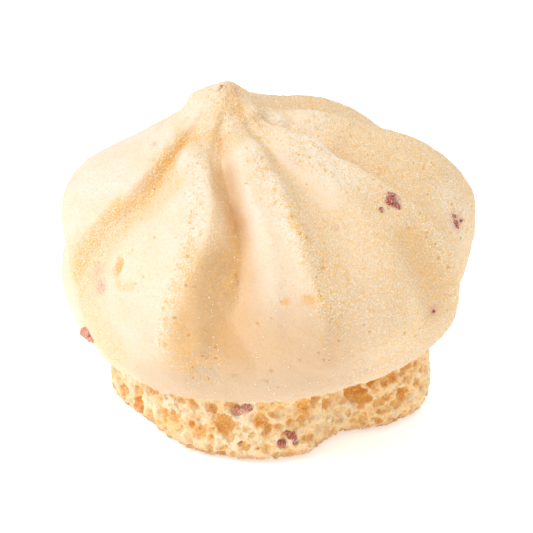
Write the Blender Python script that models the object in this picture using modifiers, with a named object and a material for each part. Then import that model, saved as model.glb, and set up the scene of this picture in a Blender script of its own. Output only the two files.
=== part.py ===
"""Meringue cookie: a dome piped in eight leaning lobes, with a pulled tip, baked on a lower foot.

Metres, +Z up.  The origin is the middle of the flat base, on the surface the cookie stands on,
and -Y is the front.  The whole cookie is one baked piece, so it is one closed solid.

The form is a turned outline.  Its columns are then combed so that they run along the lobes and
the furrows between them, and they are pressed in where a furrow or a dent lies.
"""

import math
from dataclasses import dataclass

import bpy
import numpy as np

# Driving dimensions.  Lengths are in millimetres here and become metres in the mesh.
MM = 0.001
HEIGHT = 37.0
FOOT_HEIGHT = 7.4
TIP_OFFSET = (-4.3, 0.8)
TIP_DRIFT_RADIUS = 20.0

# Outline over the tops of the lobes: radius and height, from the tip down to the lip.
DOME_OUTLINE = (
    (0.0, HEIGHT),
    (1.0, 36.5),
    (2.2, 35.2),
    (3.9, 33.9),
    (6.6, 32.7),
    (13.0, 30.3),
    (17.0, 27.9),
    (20.3, 24.7),
    (22.1, 21.0),
    (22.5, 17.4),
    (22.2, 13.8),
    (21.2, 10.8),
    (19.8, 8.7),
    (18.7, 7.8),
)
# Outline of the foot: from under the lip down to the edge of the flat base.
FOOT_OUTLINE = (
    (17.5, FOOT_HEIGHT),
    (16.8, 6.3),
    (16.7, 4.2),
    (16.9, 1.6),
    (16.7, 0.5),
    (15.9, 0.0),
)
CURVE_STEPS = 16
RINGS = 48
COLUMNS = 96

# Heights at which the lobes are described.
CROWN, SHOULDER, FLANK, SKIRT = 32.5, 29.0, 23.0, 15.0
LIP_FADE = (8.0, 12.5)
TIP_FADE = (2.4, 6.4)
CRISP_FADE = (12.0, 19.0)


@dataclass(frozen=True)
class Line:
    """A line from the tip to the lip: the top of a lobe or the bottom of a furrow.

    azimuth and inset are given at the crown, the shoulder, the flank and the skirt.
    inset is how far the line lies in from the outline, and crisp is 0 for a soft line, 1 for a fold.
    """

    name: str
    azimuth: tuple
    inset: tuple
    crisp: float


LINES = (
    Line("left lobe", (206, 203, 196, 192), (0.0, 0.0, 0.1, 0.1), 0.2),
    Line("left lobe edge", (213, 210.5, 203, 197), (0.0, 0.0, 0.1, 0.1), 0.9),
    Line("left furrow", (217, 214, 207, 201.5), (1.0, 1.9, 1.8, 0.6), 0.5),
    Line("front left lobe", (226, 233, 236, 236), (0.3, 0.5, 0.5, 0.2), 0.4),
    Line("front left edge", (244, 250, 245, 241), (0.0, 0.0, 0.1, 0.1), 0.9),
    Line("deep furrow", (256, 262.5, 262, 255), (1.4, 3.7, 3.8, 1.6), 0.6),
    Line("front lobe", (265, 269, 271, 269), (0.3, 0.9, 1.0, 1.0), 0.4),
    Line("front lobe edge", (285, 281, 283, 284), (0.0, 0.1, 0.1, 0.6), 0.9),
    Line("front furrow", (299, 296, 297, 293), (1.0, 1.4, 1.2, 0.9), 0.1),
    Line("front right face", (310, 311, 313, 313), (0.3, 0.5, 0.8, 0.4), 0.2),
    Line("front right lobe", (325, 328, 332, 331), (0.0, 0.0, 0.0, 0.0), 0.9),
    Line("right furrow", (338, 341, 345, 346), (1.6, 2.8, 2.3, 1.2), 0.6),
    Line("right lobe", (367, 368, 368, 368), (0.0, -0.6, -0.6, 0.3), 0.2),
    Line("back right furrow", (390, 390, 391, 391), (1.2, 2.3, 1.8, 0.8), 0.6),
    Line("back right lobe", (419, 419, 419, 419), (0.0, 0.3, 0.6, 0.0), 0.2),
    Line("back furrow", (438, 438, 437, 437), (1.2, 2.3, 1.8, 0.8), 0.6),
    Line("back lobe", (458, 458, 459, 459), (0.8, 0.6, 0.2, 0.0), 0.2),
    Line("back left furrow", (472, 473, 474, 475), (1.4, 2.3, 1.8, 0.8), 0.6),
    Line("back left lobe", (489, 490, 491, 492), (0.8, 1.2, 0.6, 0.0), 0.2),
    Line("far left furrow", (507, 508, 509, 509), (1.3, 1.9, 1.2, 0.4), 0.4),
)


@dataclass(frozen=True)
class Dent:
    """A soft dent in the surface, or a swelling where its depth is negative."""

    name: str
    azimuth: float
    height: float
    half_angle: float
    half_height: float
    depth: float


DENTS = (
    Dent("left shoulder swelling", 172, 25.5, 28, 5.0, -1.6),
    Dent("waist of the left lobe", 180, 19.5, 16, 2.2, 0.9),
    Dent("hollow under the deep furrow", 259, 15.5, 17, 4.5, 1.6),
    Dent("front right swelling", 302, 19.0, 14, 6.0, -0.8),
    Dent("front right groove", 321, 21.5, 7, 4.0, 0.9),
    Dent("tuck under the right lobe", 8, 14.0, 25, 4.0, 0.5),
    Dent("collar under the tip", 300, 33.8, 90, 0.5, 0.5),
    Dent("left side of the tip", 185, 34.3, 55, 1.2, -0.9),
    Dent("head of the left lobe", 202, 32.0, 10, 0.9, -0.5),
    Dent("head of the front left lobe", 229, 31.9, 10, 0.9, -0.9),
    Dent("head of the front lobe", 272, 32.4, 14, 0.8, -1.0),
    Dent("head of the front right lobe", 320, 32.3, 13, 0.8, -1.1),
    Dent("head of the right lobe", 8, 31.8, 13, 0.9, -0.9),
)


@dataclass(frozen=True)
class Bulge:
    """A stretch of the foot that stands out from its round plan, or in where out is negative."""

    azimuth: float
    half_angle: float
    out: float


FOOT_BULGES = (
    Bulge(180, 22, 0.7),
    Bulge(212, 20, -1.4),
    Bulge(268, 30, -0.3),
    Bulge(306, 18, -3.4),
    Bulge(350, 22, 1.0),
    Bulge(90, 60, 0.3),
)

# The lip rises from the left to the right: mean lift, its swing, and the azimuth of the highest place.
LIP_LIFT = 0.9
LIP_TILT = 1.1
LIP_TILT_AZIMUTH = 350
LIFT_START = (0.5, 7.0)
LIFT_END = (8.5, 18.0)

CRUST_COLOUR = (0.90, 0.74, 0.50, 1.0)
CRUST_ROUGHNESS = 0.75


def clear_scene():
    """Remove every object, so that the file holds the cookie only."""
    for old in list(bpy.data.objects):
        bpy.data.objects.remove(old, do_unlink=True)


def smooth_step(low, high, value):
    """Rise smoothly from 0 at low to 1 at high."""
    part = np.clip((value - low) / (high - low), 0.0, 1.0)
    return part * part * (3.0 - 2.0 * part)


def smooth_curve(points, steps):
    """Points along a Catmull-Rom curve through the given points."""
    knots = np.array(points, dtype=float)
    first = 2.0 * knots[0] - knots[1]
    last = 2.0 * knots[-1] - knots[-2]
    knots = np.vstack([first, knots, last])
    part = np.linspace(0.0, 1.0, steps, endpoint=False)[:, None]
    pieces = []
    for i in range(1, len(knots) - 2):
        before, start, end, after = knots[i - 1 : i + 3]
        slope = (end - before) * part
        bend = (2.0 * before - 5.0 * start + 4.0 * end - after) * part**2
        twist = (3.0 * start - before - 3.0 * end + after) * part**3
        pieces.append(start + 0.5 * (slope + bend + twist))
    pieces.append(knots[-2:-1])
    return np.vstack(pieces)


def evenly_spaced(curve, count):
    """The same curve as a number of points at equal distances."""
    steps = np.linalg.norm(np.diff(curve, axis=0), axis=1)
    run = np.concatenate([[0.0], np.cumsum(steps)])
    marks = np.linspace(0.0, run[-1], count)
    return np.column_stack([np.interp(marks, run, curve[:, i]) for i in range(curve.shape[1])])


def between_stations(values, height):
    """Value of a line at each height, read from a smooth curve through its four stations."""
    stations = np.array([SKIRT, FLANK, SHOULDER, CROWN])
    known = np.array(values[::-1], dtype=float)
    gaps = np.diff(stations)
    rises = np.diff(known) / gaps
    slopes = np.zeros(len(known))
    for i in range(1, len(known) - 1):
        if rises[i - 1] * rises[i] > 0.0:
            slopes[i] = 2.0 / (1.0 / rises[i - 1] + 1.0 / rises[i])
    height = np.clip(height, stations[0], stations[-1])
    cell = np.clip(np.searchsorted(stations, height) - 1, 0, len(gaps) - 1)
    part = (height - stations[cell]) / gaps[cell]
    start = known[cell] * (1.0 + 2.0 * part) * (1.0 - part) ** 2
    end = known[cell + 1] * part**2 * (3.0 - 2.0 * part)
    leave = slopes[cell] * gaps[cell] * part * (1.0 - part) ** 2
    arrive = slopes[cell + 1] * gaps[cell] * part**2 * (part - 1.0)
    return start + end + leave + arrive


def line_blend(part, crisp_start, crisp_end):
    """Share of the way from one line to the next, with each end soft or crisp."""
    both_soft = (1.0 - np.cos(math.pi * part)) / 2.0
    start_fold = np.sin(math.pi * part / 2.0)
    end_fold = 1.0 - np.cos(math.pi * part / 2.0)
    soft_start = 1.0 - crisp_start
    soft_end = 1.0 - crisp_end
    blend = soft_start * soft_end * both_soft
    blend += crisp_start * soft_end * start_fold
    blend += soft_start * crisp_end * end_fold
    return blend + crisp_start * crisp_end * part


def column_shares():
    """Turned angle, as a share of the round, at which each line's column stands."""
    middles = np.array([line.azimuth[2] for line in LINES], dtype=float)
    turns = np.append(middles, middles[0] + 360.0)
    columns = np.round((turns - turns[0]) * COLUMNS / 360.0)
    return columns / COLUMNS


def comb(share, height):
    """Azimuth in degrees and inset in millimetres of points of the turned form."""
    shares = column_shares()
    cell = np.clip(np.searchsorted(shares, share, side="right") - 1, 0, len(LINES) - 1)
    part = (share - shares[cell]) / (shares[cell + 1] - shares[cell])
    azimuths = np.array([between_stations(line.azimuth, height) for line in LINES])
    insets = np.array([between_stations(line.inset, height) for line in LINES])
    crisps = np.array([line.crisp for line in LINES])
    point = np.arange(len(share))
    following = (cell + 1) % len(LINES)
    wrap = np.where(following == 0, 360.0, 0.0)
    start = azimuths[cell, point]
    end = azimuths[following, point] + wrap
    fold = 0.2 + 0.8 * smooth_step(*CRISP_FADE, height)
    blend = line_blend(part, crisps[cell] * fold, crisps[following] * fold)
    inset = insets[cell, point] * (1.0 - blend) + insets[following, point] * blend
    return start + (end - start) * part, inset


def angle_between(azimuth, other):
    """Signed angle in degrees from one azimuth to another, within half a turn."""
    return (azimuth - other + 180.0) % 360.0 - 180.0


def dent_depth(azimuth, height):
    """How far the soft dents press the surface in."""
    depth = np.zeros(len(azimuth))
    for dent in DENTS:
        across = angle_between(azimuth, dent.azimuth) / dent.half_angle
        along = (height - dent.height) / dent.half_height
        depth += dent.depth * np.exp(-(across**2) - along**2)
    return depth


def foot_out(azimuth):
    """How far the foot stands out from its round plan."""
    out = np.zeros(len(azimuth))
    for bulge in FOOT_BULGES:
        across = angle_between(azimuth, bulge.azimuth) / bulge.half_angle
        out += bulge.out * np.exp(-(across**2))
    return out


def lip_lift(azimuth, height):
    """How far the lip and the crease under it are raised."""
    lift = LIP_LIFT + LIP_TILT * np.cos(np.radians(azimuth - LIP_TILT_AZIMUTH))
    return lift * smooth_step(*LIFT_START, height) * (1.0 - smooth_step(*LIFT_END, height))


def cookie_outline():
    """Outline from the tip to the edge of the base, and its outward direction at each point."""
    curve = smooth_curve(DOME_OUTLINE + FOOT_OUTLINE, CURVE_STEPS)
    outline = evenly_spaced(curve, RINGS)
    along = np.gradient(outline, axis=0)
    along /= np.linalg.norm(along, axis=1)[:, None]
    outward = np.column_stack([-along[:, 1], along[:, 0]])
    outline[0, 0] = 0.0
    outline[-1, 1] = 0.0
    return outline, outward


def turned_form(outline):
    """Closed turned mesh of the outline, as a mesh with the Screw modifier applied."""
    mesh = bpy.data.meshes.new("outline")
    points = [(radius * MM, 0.0, height * MM) for radius, height in outline]
    points.append((0.0, 0.0, 0.0))
    edges = [(i, i + 1) for i in range(len(points) - 1)]
    mesh.from_pydata(points, edges, [])
    turned = bpy.data.objects.new("outline", mesh)
    bpy.context.scene.collection.objects.link(turned)
    screw = turned.modifiers.new("turn", "SCREW")
    screw.axis = "Z"
    screw.steps = COLUMNS
    screw.render_steps = COLUMNS
    screw.use_merge_vertices = True
    screw.merge_threshold = 0.00001
    screw.use_smooth_shade = True
    evaluated = turned.evaluated_get(bpy.context.evaluated_depsgraph_get())
    form = bpy.data.meshes.new_from_object(evaluated)
    bpy.data.objects.remove(turned, do_unlink=True)
    bpy.data.meshes.remove(mesh)
    return form


def press_lobes(form, outline, outward):
    """Comb the columns of the turned mesh along the lobes and press the furrows in."""
    count = len(form.vertices)
    places = np.empty(count * 3)
    form.vertices.foreach_get("co", places)
    places = places.reshape(count, 3) / MM
    radius = np.hypot(places[:, 0], places[:, 1])
    height = places[:, 2].copy()
    share = (np.arctan2(places[:, 1], places[:, 0]) / math.tau) % 1.0
    share = (np.round(share * COLUMNS) % COLUMNS) / COLUMNS

    apart = (radius[:, None] - outline[:, 0]) ** 2 + (height[:, None] - outline[:, 1]) ** 2
    ring = np.argmin(apart, axis=1)
    centre = radius < 0.01
    direction = outward[ring]

    azimuth, inset = comb(share, height)
    foot_share = 1.0 - smooth_step(FOOT_HEIGHT - 0.7, FOOT_HEIGHT + 1.2, height)
    inset *= smooth_step(*TIP_FADE, radius) * (0.1 + 0.9 * smooth_step(*LIP_FADE, height))
    inset += dent_depth(azimuth, height)
    inset *= 1.0 - foot_share
    direction[foot_share > 0.5] = (1.0, 0.0)

    radius += foot_share * foot_out(azimuth) - inset * direction[:, 0]
    height += lip_lift(azimuth, height) - inset * direction[:, 1]
    radius[centre] = 0.0
    lean = (1.0 - smooth_step(0.0, TIP_DRIFT_RADIUS, radius)) * (1.0 - foot_share)
    lean[centre & (height < 1.0)] = 0.0
    places[:, 0] = radius * np.cos(np.radians(azimuth)) + TIP_OFFSET[0] * lean
    places[:, 1] = radius * np.sin(np.radians(azimuth)) + TIP_OFFSET[1] * lean
    places[:, 2] = height

    middle = (places[:, :2].max(axis=0) + places[:, :2].min(axis=0)) / 2.0
    places[:, :2] -= middle
    form.vertices.foreach_set("co", (places * MM).ravel())
    form.update()


def crust_material():
    """Plain material in the colour of the baked crust."""
    material = bpy.data.materials.new("baked_crust")
    material.use_nodes = True
    shader = material.node_tree.nodes["Principled BSDF"]
    shader.inputs["Base Color"].default_value = CRUST_COLOUR
    shader.inputs["Roughness"].default_value = CRUST_ROUGHNESS
    shader.inputs["Metallic"].default_value = 0.0
    return material


def build_meringue(collection):
    """The whole cookie, as one closed solid."""
    outline, outward = cookie_outline()
    form = turned_form(outline)
    press_lobes(form, outline, outward)
    form.materials.clear()
    form.materials.append(crust_material())
    form.name = "meringue"
    meringue = bpy.data.objects.new("meringue", form)
    collection.objects.link(meringue)
    return meringue


def main():
    """Build the cookie in a collection of its own."""
    clear_scene()
    collection = bpy.data.collections.new("meringue_cookie")
    bpy.context.scene.collection.children.link(collection)
    build_meringue(collection)


main()
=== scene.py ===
"""Looks of a piped raspberry meringue cookie.

A lobed dome of baked sugar skin stands on a narrower foot of open crumb, with raspberry bits and sugar grains
baked on. Lengths are in metres and +Z is up. A place on the cookie is the direction in which its heart sees
it: the azimuth, in degrees from +X towards +Y, and the elevation, in degrees above the level.
"""

from __future__ import annotations

import contextlib
import logging
import math
from collections.abc import Iterator, Sequence
from dataclasses import dataclass, field
from enum import Enum

import bpy
import numpy as np
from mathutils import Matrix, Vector
from mathutils.bvhtree import BVHTree

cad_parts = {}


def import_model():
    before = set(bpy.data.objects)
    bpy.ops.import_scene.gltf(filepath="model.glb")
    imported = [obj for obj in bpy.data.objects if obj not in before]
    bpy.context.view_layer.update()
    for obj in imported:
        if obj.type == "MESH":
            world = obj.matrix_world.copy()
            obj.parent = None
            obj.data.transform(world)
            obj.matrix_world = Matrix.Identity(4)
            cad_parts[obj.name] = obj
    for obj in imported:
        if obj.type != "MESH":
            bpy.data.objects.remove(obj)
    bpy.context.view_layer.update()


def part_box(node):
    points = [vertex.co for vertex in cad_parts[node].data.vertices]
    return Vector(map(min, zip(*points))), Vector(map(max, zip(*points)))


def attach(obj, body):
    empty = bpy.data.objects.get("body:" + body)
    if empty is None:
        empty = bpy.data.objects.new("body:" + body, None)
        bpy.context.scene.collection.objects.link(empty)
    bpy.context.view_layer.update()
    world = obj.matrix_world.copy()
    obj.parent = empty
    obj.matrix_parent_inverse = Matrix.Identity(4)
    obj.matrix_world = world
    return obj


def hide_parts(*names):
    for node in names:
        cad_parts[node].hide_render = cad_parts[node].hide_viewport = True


LOG = logging.getLogger("meringue_cookie")
MM = 0.001
NODE = "meringue"
BODY = "root"
Colour = tuple[float, float, float]
Places = list[tuple[np.ndarray, np.ndarray]]
Piece = bpy.types.Object
Material = bpy.types.Material
Socket = bpy.types.NodeSocket


# ---- Working on a mesh as by hand


def pick_only(piece: Piece) -> None:
    """Makes one object the only one selected, and the active one.

    Args:
        piece: The object to select.
    """
    bpy.ops.object.select_all(action="DESELECT")
    piece.select_set(True)
    bpy.context.view_layer.objects.active = piece


@contextlib.contextmanager
def edit_mode(piece: Piece, faces: np.ndarray | None = None) -> Iterator[None]:
    """Opens a piece in edit mode, and closes it again.

    Args:
        piece: The mesh object to edit.
        faces: True for each face to select. Without it everything is selected.

    Yields:
        Nothing, once the piece is open.
    """
    pick_only(piece)
    mesh = piece.data
    if faces is None:
        faces = np.ones(len(mesh.polygons), dtype=bool)
    mesh.vertices.foreach_set("select", np.zeros(len(mesh.vertices), dtype=bool))
    mesh.edges.foreach_set("select", np.zeros(len(mesh.edges), dtype=bool))
    mesh.polygons.foreach_set("select", faces)
    bpy.context.tool_settings.mesh_select_mode = (False, False, True)
    bpy.ops.object.mode_set(mode="EDIT")
    yield
    bpy.ops.object.mode_set(mode="OBJECT")


def select_open_edges() -> None:
    """Selects the edges round the openings of the mesh that is in edit mode."""
    bpy.ops.mesh.select_mode(type="EDGE")
    bpy.ops.mesh.select_non_manifold(
        use_wire=False, use_multi_face=False, use_non_contiguous=False, use_verts=False
    )


def apply_modifier(piece: Piece, kind: str, **settings: object) -> None:
    """Adds a modifier with the given settings and applies it.

    Args:
        piece: The mesh object that gets the modifier.
        kind: The modifier's type, in capitals.
        **settings: The modifier's properties, each under its name.
    """
    pick_only(piece)
    modifier = piece.modifiers.new(kind.lower(), kind)
    for name, value in settings.items():
        setattr(modifier, name, value)
    bpy.ops.object.modifier_apply(modifier=modifier.name)


def rows_of(items: Sequence[object], name: str) -> np.ndarray:
    """Gives one vector of each item of a mesh, one row each.

    Args:
        items: A mesh's vertices or faces, or the normals at its vertices.
        name: What to read of each item.

    Returns:
        One row of three numbers for each item.
    """
    flat = np.empty(3 * len(items), dtype=np.float32)
    items.foreach_get(name, flat)
    return flat.reshape(-1, 3).astype(float)


def points_of(piece: Piece) -> np.ndarray:
    """Gives a piece's points, one row each."""
    return rows_of(piece.data.vertices, "co")


def set_points(piece: Piece, points: np.ndarray) -> None:
    """Moves a piece's points to the given rows."""
    piece.data.vertices.foreach_set("co", points.astype(np.float32).ravel())
    piece.data.update()


def normals_of(piece: Piece) -> np.ndarray:
    """Gives the direction that a piece's surface faces at each point."""
    return rows_of(piece.data.vertex_normals, "vector")


def face_middles(piece: Piece) -> np.ndarray:
    """Gives the middle of each face."""
    return rows_of(piece.data.polygons, "center")


def triangles_of(piece: Piece) -> int:
    """Counts a piece's triangles."""
    return sum(len(face.vertices) - 2 for face in piece.data.polygons)


def store(piece: Piece, name: str, values: np.ndarray) -> None:
    """Keeps one number for each point under a name that the finishes read."""
    attribute = piece.data.attributes.new(name, "FLOAT", "POINT")
    attribute.data.foreach_set("value", values.astype(np.float32))


def stored(piece: Piece, name: str) -> np.ndarray:
    """Gives back the numbers that a piece keeps under a name.

    Args:
        piece: The mesh object that keeps the numbers.
        name: The name that they were stored under.

    Returns:
        One number for each vertex.
    """
    values = np.empty(len(piece.data.vertices), dtype=np.float32)
    piece.data.attributes[name].data.foreach_get("value", values)
    return values


def smooth(piece: Piece, crease: float = math.pi) -> None:
    """Shades a piece smooth, but for the edges that are sharper than `crease`.

    Args:
        piece: The mesh object to shade.
        crease: The angle past which an edge stays sharp, in radians.
    """
    pick_only(piece)
    if crease < math.pi:
        bpy.ops.object.shade_smooth_by_angle(angle=crease)
    else:
        bpy.ops.object.shade_smooth()


def dress(piece: Piece, material: Material) -> None:
    """Gives every face of a piece one material.

    Args:
        piece: The mesh object to dress.
        material: The finish that it gets.
    """
    piece.data.materials.clear()
    piece.data.materials.append(material)
    piece.data.polygons.foreach_set("material_index", np.zeros(len(piece.data.polygons), dtype=np.int32))


def azimuths(points: np.ndarray) -> np.ndarray:
    """Gives the azimuth of each point round the cookie's axis."""
    return np.degrees(np.arctan2(points[:, 1], points[:, 0])) % 360.0


def heading(azimuth: float, elevation: float = 0.0) -> np.ndarray:
    """Gives the unit vector that points along an azimuth and an elevation."""
    turn, rise = math.radians(azimuth), math.radians(elevation)
    return np.array((math.cos(turn) * math.cos(rise), math.sin(turn) * math.cos(rise), math.sin(rise)))


def fade(values: np.ndarray, low: float, high: float) -> np.ndarray:
    """Runs smoothly from 0 at `low` to 1 at `high`."""
    share = np.clip((values - low) / (high - low), 0.0, 1.0)
    return share * share * (3.0 - 2.0 * share)


def averaged(piece: Piece, values: np.ndarray, rounds: int) -> np.ndarray:
    """Spreads values over a mesh by taking each point towards the mean of its neighbours.

    Args:
        piece: The mesh whose edges join the neighbours.
        values: One row for each point.
        rounds: How many times to average.

    Returns:
        The spread values, one row for each point.
    """
    count = len(piece.data.vertices)
    ends = np.empty(2 * len(piece.data.edges), dtype=np.int32)
    piece.data.edges.foreach_get("vertices", ends)
    first, second = ends.reshape(-1, 2).T
    neighbours = np.bincount(ends, minlength=count)
    spread = values.reshape(count, -1).astype(float)
    for _ in range(rounds):
        total = np.stack(
            [
                np.bincount(first, column[second], count) + np.bincount(second, column[first], count)
                for column in spread.T
            ],
            axis=1,
        )
        spread = 0.5 * spread + 0.5 * total / neighbours[:, None]
    return spread.reshape(values.shape)


def hollowness(piece: Piece, rounds: int, depth: float) -> np.ndarray:
    """Measures how far each point lies in a hollow.

    Args:
        piece: The mesh to measure.
        rounds: How far round each point to look, in steps from neighbour to neighbour.
        depth: The depth that counts as 1.

    Returns:
        Depth under the surface round about, as a share of `depth`: below 0 on a crest.
    """
    points = points_of(piece)
    level = averaged(piece, points, rounds)
    return np.einsum("ij,ij->i", level - points, normals_of(piece)) / depth


def surface_tree(pieces: Sequence[Piece]) -> BVHTree:
    """Builds one search tree over the faces of some pieces.

    Args:
        pieces: The mesh objects to search.

    Returns:
        The search tree.
    """
    points: list[Sequence[float]] = []
    faces: list[list[int]] = []
    for piece in pieces:
        start = len(points)
        points.extend(points_of(piece).tolist())
        faces.extend([start + corner for corner in face.vertices] for face in piece.data.polygons)
    return BVHTree.FromPolygons(points, faces)


class Grain(Enum):
    """The patterns of unevenness that a relief can have."""

    SWELLS = "CLOUDS"
    CELLS = "VORONOI"


@dataclass(frozen=True)
class Relief:
    """One layer of unevenness, pressed into a surface along its normals."""

    grain: Grain
    spacing: float
    height: float

    def press(self, piece: Piece, share: np.ndarray | float = 1.0) -> None:
        """Presses the layer into a piece.

        Args:
            piece: The mesh to press.
            share: How much of the layer each point takes, or all of them.
        """
        before = points_of(piece)
        texture = bpy.data.textures.new("relief", type=self.grain.value)
        texture.noise_scale = self.spacing
        apply_modifier(piece, "DISPLACE", texture=texture, strength=self.height, texture_coords="LOCAL")
        bpy.data.textures.remove(texture)
        moved = points_of(piece) - before
        set_points(piece, before + moved * np.reshape(share, (-1, 1)))


# ---- The form that everything is built on


@dataclass(frozen=True)
class Spot:
    """A place on the cookie, with the size and the strength of what lies there."""

    azimuth: float
    elevation: float
    size: float = 1.0 * MM
    strength: float = 1.0


@dataclass(frozen=True)
class Streak:
    """A soft band along the surface, through bends that each have an azimuth and an elevation."""

    bends: tuple[tuple[float, float], ...]
    reach: float
    strength: float


def band(reach: float, strength: float, *bends: tuple[float, float]) -> Streak:
    """Describes a streak by its half width in millimetres, its strength and its bends."""
    return Streak(bends, reach * MM, strength)


def spots(*rows: tuple[float, ...]) -> tuple[Spot, ...]:
    """Lists spots by azimuth, elevation, size in millimetres and, where it isn't 1, strength."""
    return tuple(Spot(azimuth, elevation, size * MM, *rest) for azimuth, elevation, size, *rest in rows)


class Form:
    """The solid that the looks are built round: its box, its heart and the line of its lip."""

    HEART_HEIGHT = 0.35
    FOOT_LEVEL = 0.13
    LOWEST_LIP = 0.14
    USUAL_LIP = 0.25
    DOME_LEVEL = 0.36
    LIP_SEARCH = 0.004
    LIP_STEPS = 120
    LIP_REACH = 0.35
    STEPS_PER_BEND = 12
    SOLID_SHARE = 0.2

    def __init__(self) -> None:
        """Measures the solid."""
        low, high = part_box(NODE)
        self.low = np.array(low)
        self.high = np.array(high)
        self.height = float(high[2] - low[2])
        self.heart = np.array((0.0, 0.0, self.HEART_HEIGHT * self.height))
        self.node = bpy.data.objects[NODE]
        self.tree = surface_tree([self.node])
        self.lip_azimuths = np.arange(self.LIP_STEPS) * 360.0 / self.LIP_STEPS
        self.lip_heights = np.array([self._lip_at(azimuth) for azimuth in self.lip_azimuths])

    def radius(self, azimuth: float, height: float) -> float:
        """Gives the distance from the axis to the wall at a height above the base."""
        hit = self.tree.ray_cast(Vector((0.0, 0.0, height)), Vector(heading(azimuth)))[0]
        return hit.xy.length

    def _lip_at(self, azimuth: float) -> float:
        """Finds the height at which the wall has left the foot for the dome.

        Args:
            azimuth: Where to look, in degrees.

        Returns:
            The height in metres.
        """
        foot = self.radius(azimuth, self.FOOT_LEVEL * self.height)
        dome = self.radius(azimuth, self.DOME_LEVEL * self.height)
        edge = foot + self.LIP_REACH * (dome - foot)
        heights = np.arange(self.LOWEST_LIP, self.DOME_LEVEL, self.LIP_SEARCH) * self.height
        wide = (float(height) for height in heights if self.radius(azimuth, height) > edge)
        return next(wide, self.USUAL_LIP * self.height)

    def lip(self, around: np.ndarray) -> np.ndarray:
        """Gives the height of the lip at each of some azimuths."""
        return np.interp(around, self.lip_azimuths, self.lip_heights, period=360.0)

    def copy(self, name: str) -> Piece:
        """Copies the solid as one welded mesh of quads.

        Args:
            name: The name of the new piece.

        Returns:
            The new piece.
        """
        piece = bpy.data.objects.new(name, self.node.data.copy())
        piece.data.name = name
        piece.data.materials.clear()
        bpy.context.scene.collection.objects.link(piece)
        with edit_mode(piece):
            bpy.ops.mesh.remove_doubles(threshold=0.001 * MM)
            bpy.ops.mesh.tris_convert_to_quads()
        return piece

    def keep_inside(self, piece: Piece) -> None:
        """Holds a piece's points inside the solid's box."""
        set_points(piece, np.clip(points_of(piece), self.low, self.high))

    def strike(self, tree: BVHTree, spot: Spot) -> tuple[Vector, Vector, int, float]:
        """Gives the point, normal, face and distance at which a ray from outside meets a spot."""
        out = heading(spot.azimuth, spot.elevation)
        return tree.ray_cast(Vector(self.heart + 2.0 * self.height * out), Vector(-out))

    def land(self, tree: BVHTree, spot: Spot) -> tuple[np.ndarray, np.ndarray]:
        """Finds the outermost surface at a spot.

        Args:
            tree: The surfaces to look on.
            spot: Where to look.

        Returns:
            The point on the surface, and the direction that the surface faces there.
        """
        point, normal, _, _ = self.strike(tree, spot)
        return np.array(point), np.array(normal)

    def seat(self, tree: BVHTree, spot: Spot, rise: float) -> np.ndarray:
        """Gives the point over a spot's surface by `rise` times the spot's size."""
        point, normal = self.land(tree, spot)
        return point + rise * spot.size * normal

    def painted(self, tree: BVHTree, points: np.ndarray, streaks: Sequence[Streak]) -> np.ndarray:
        """Paints soft bands over a surface.

        Args:
            tree: The surface that the bands lie on.
            points: The points to paint.
            streaks: The bands. A band with one bend is a round patch.

        Returns:
            How strongly each point is painted, from 0 to 1.
        """
        shade = np.zeros(len(points))
        for streak in streaks:
            bends = np.array(streak.bends)
            marks = np.linspace(0.0, len(bends) - 1.0, self.STEPS_PER_BEND * (len(bends) - 1) + 1)
            path = np.column_stack([np.interp(marks, np.arange(len(bends)), column) for column in bends.T])
            away = np.full(len(points), np.inf)
            for azimuth, elevation in path:
                centre, _ = self.land(tree, Spot(azimuth, elevation))
                away = np.minimum(away, np.linalg.norm(points - centre, axis=1))
            solid = self.SOLID_SHARE * streak.reach
            shade = np.maximum(shade, streak.strength * (1.0 - fade(away, solid, streak.reach)))
        return shade


# ---- Finishes


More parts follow.
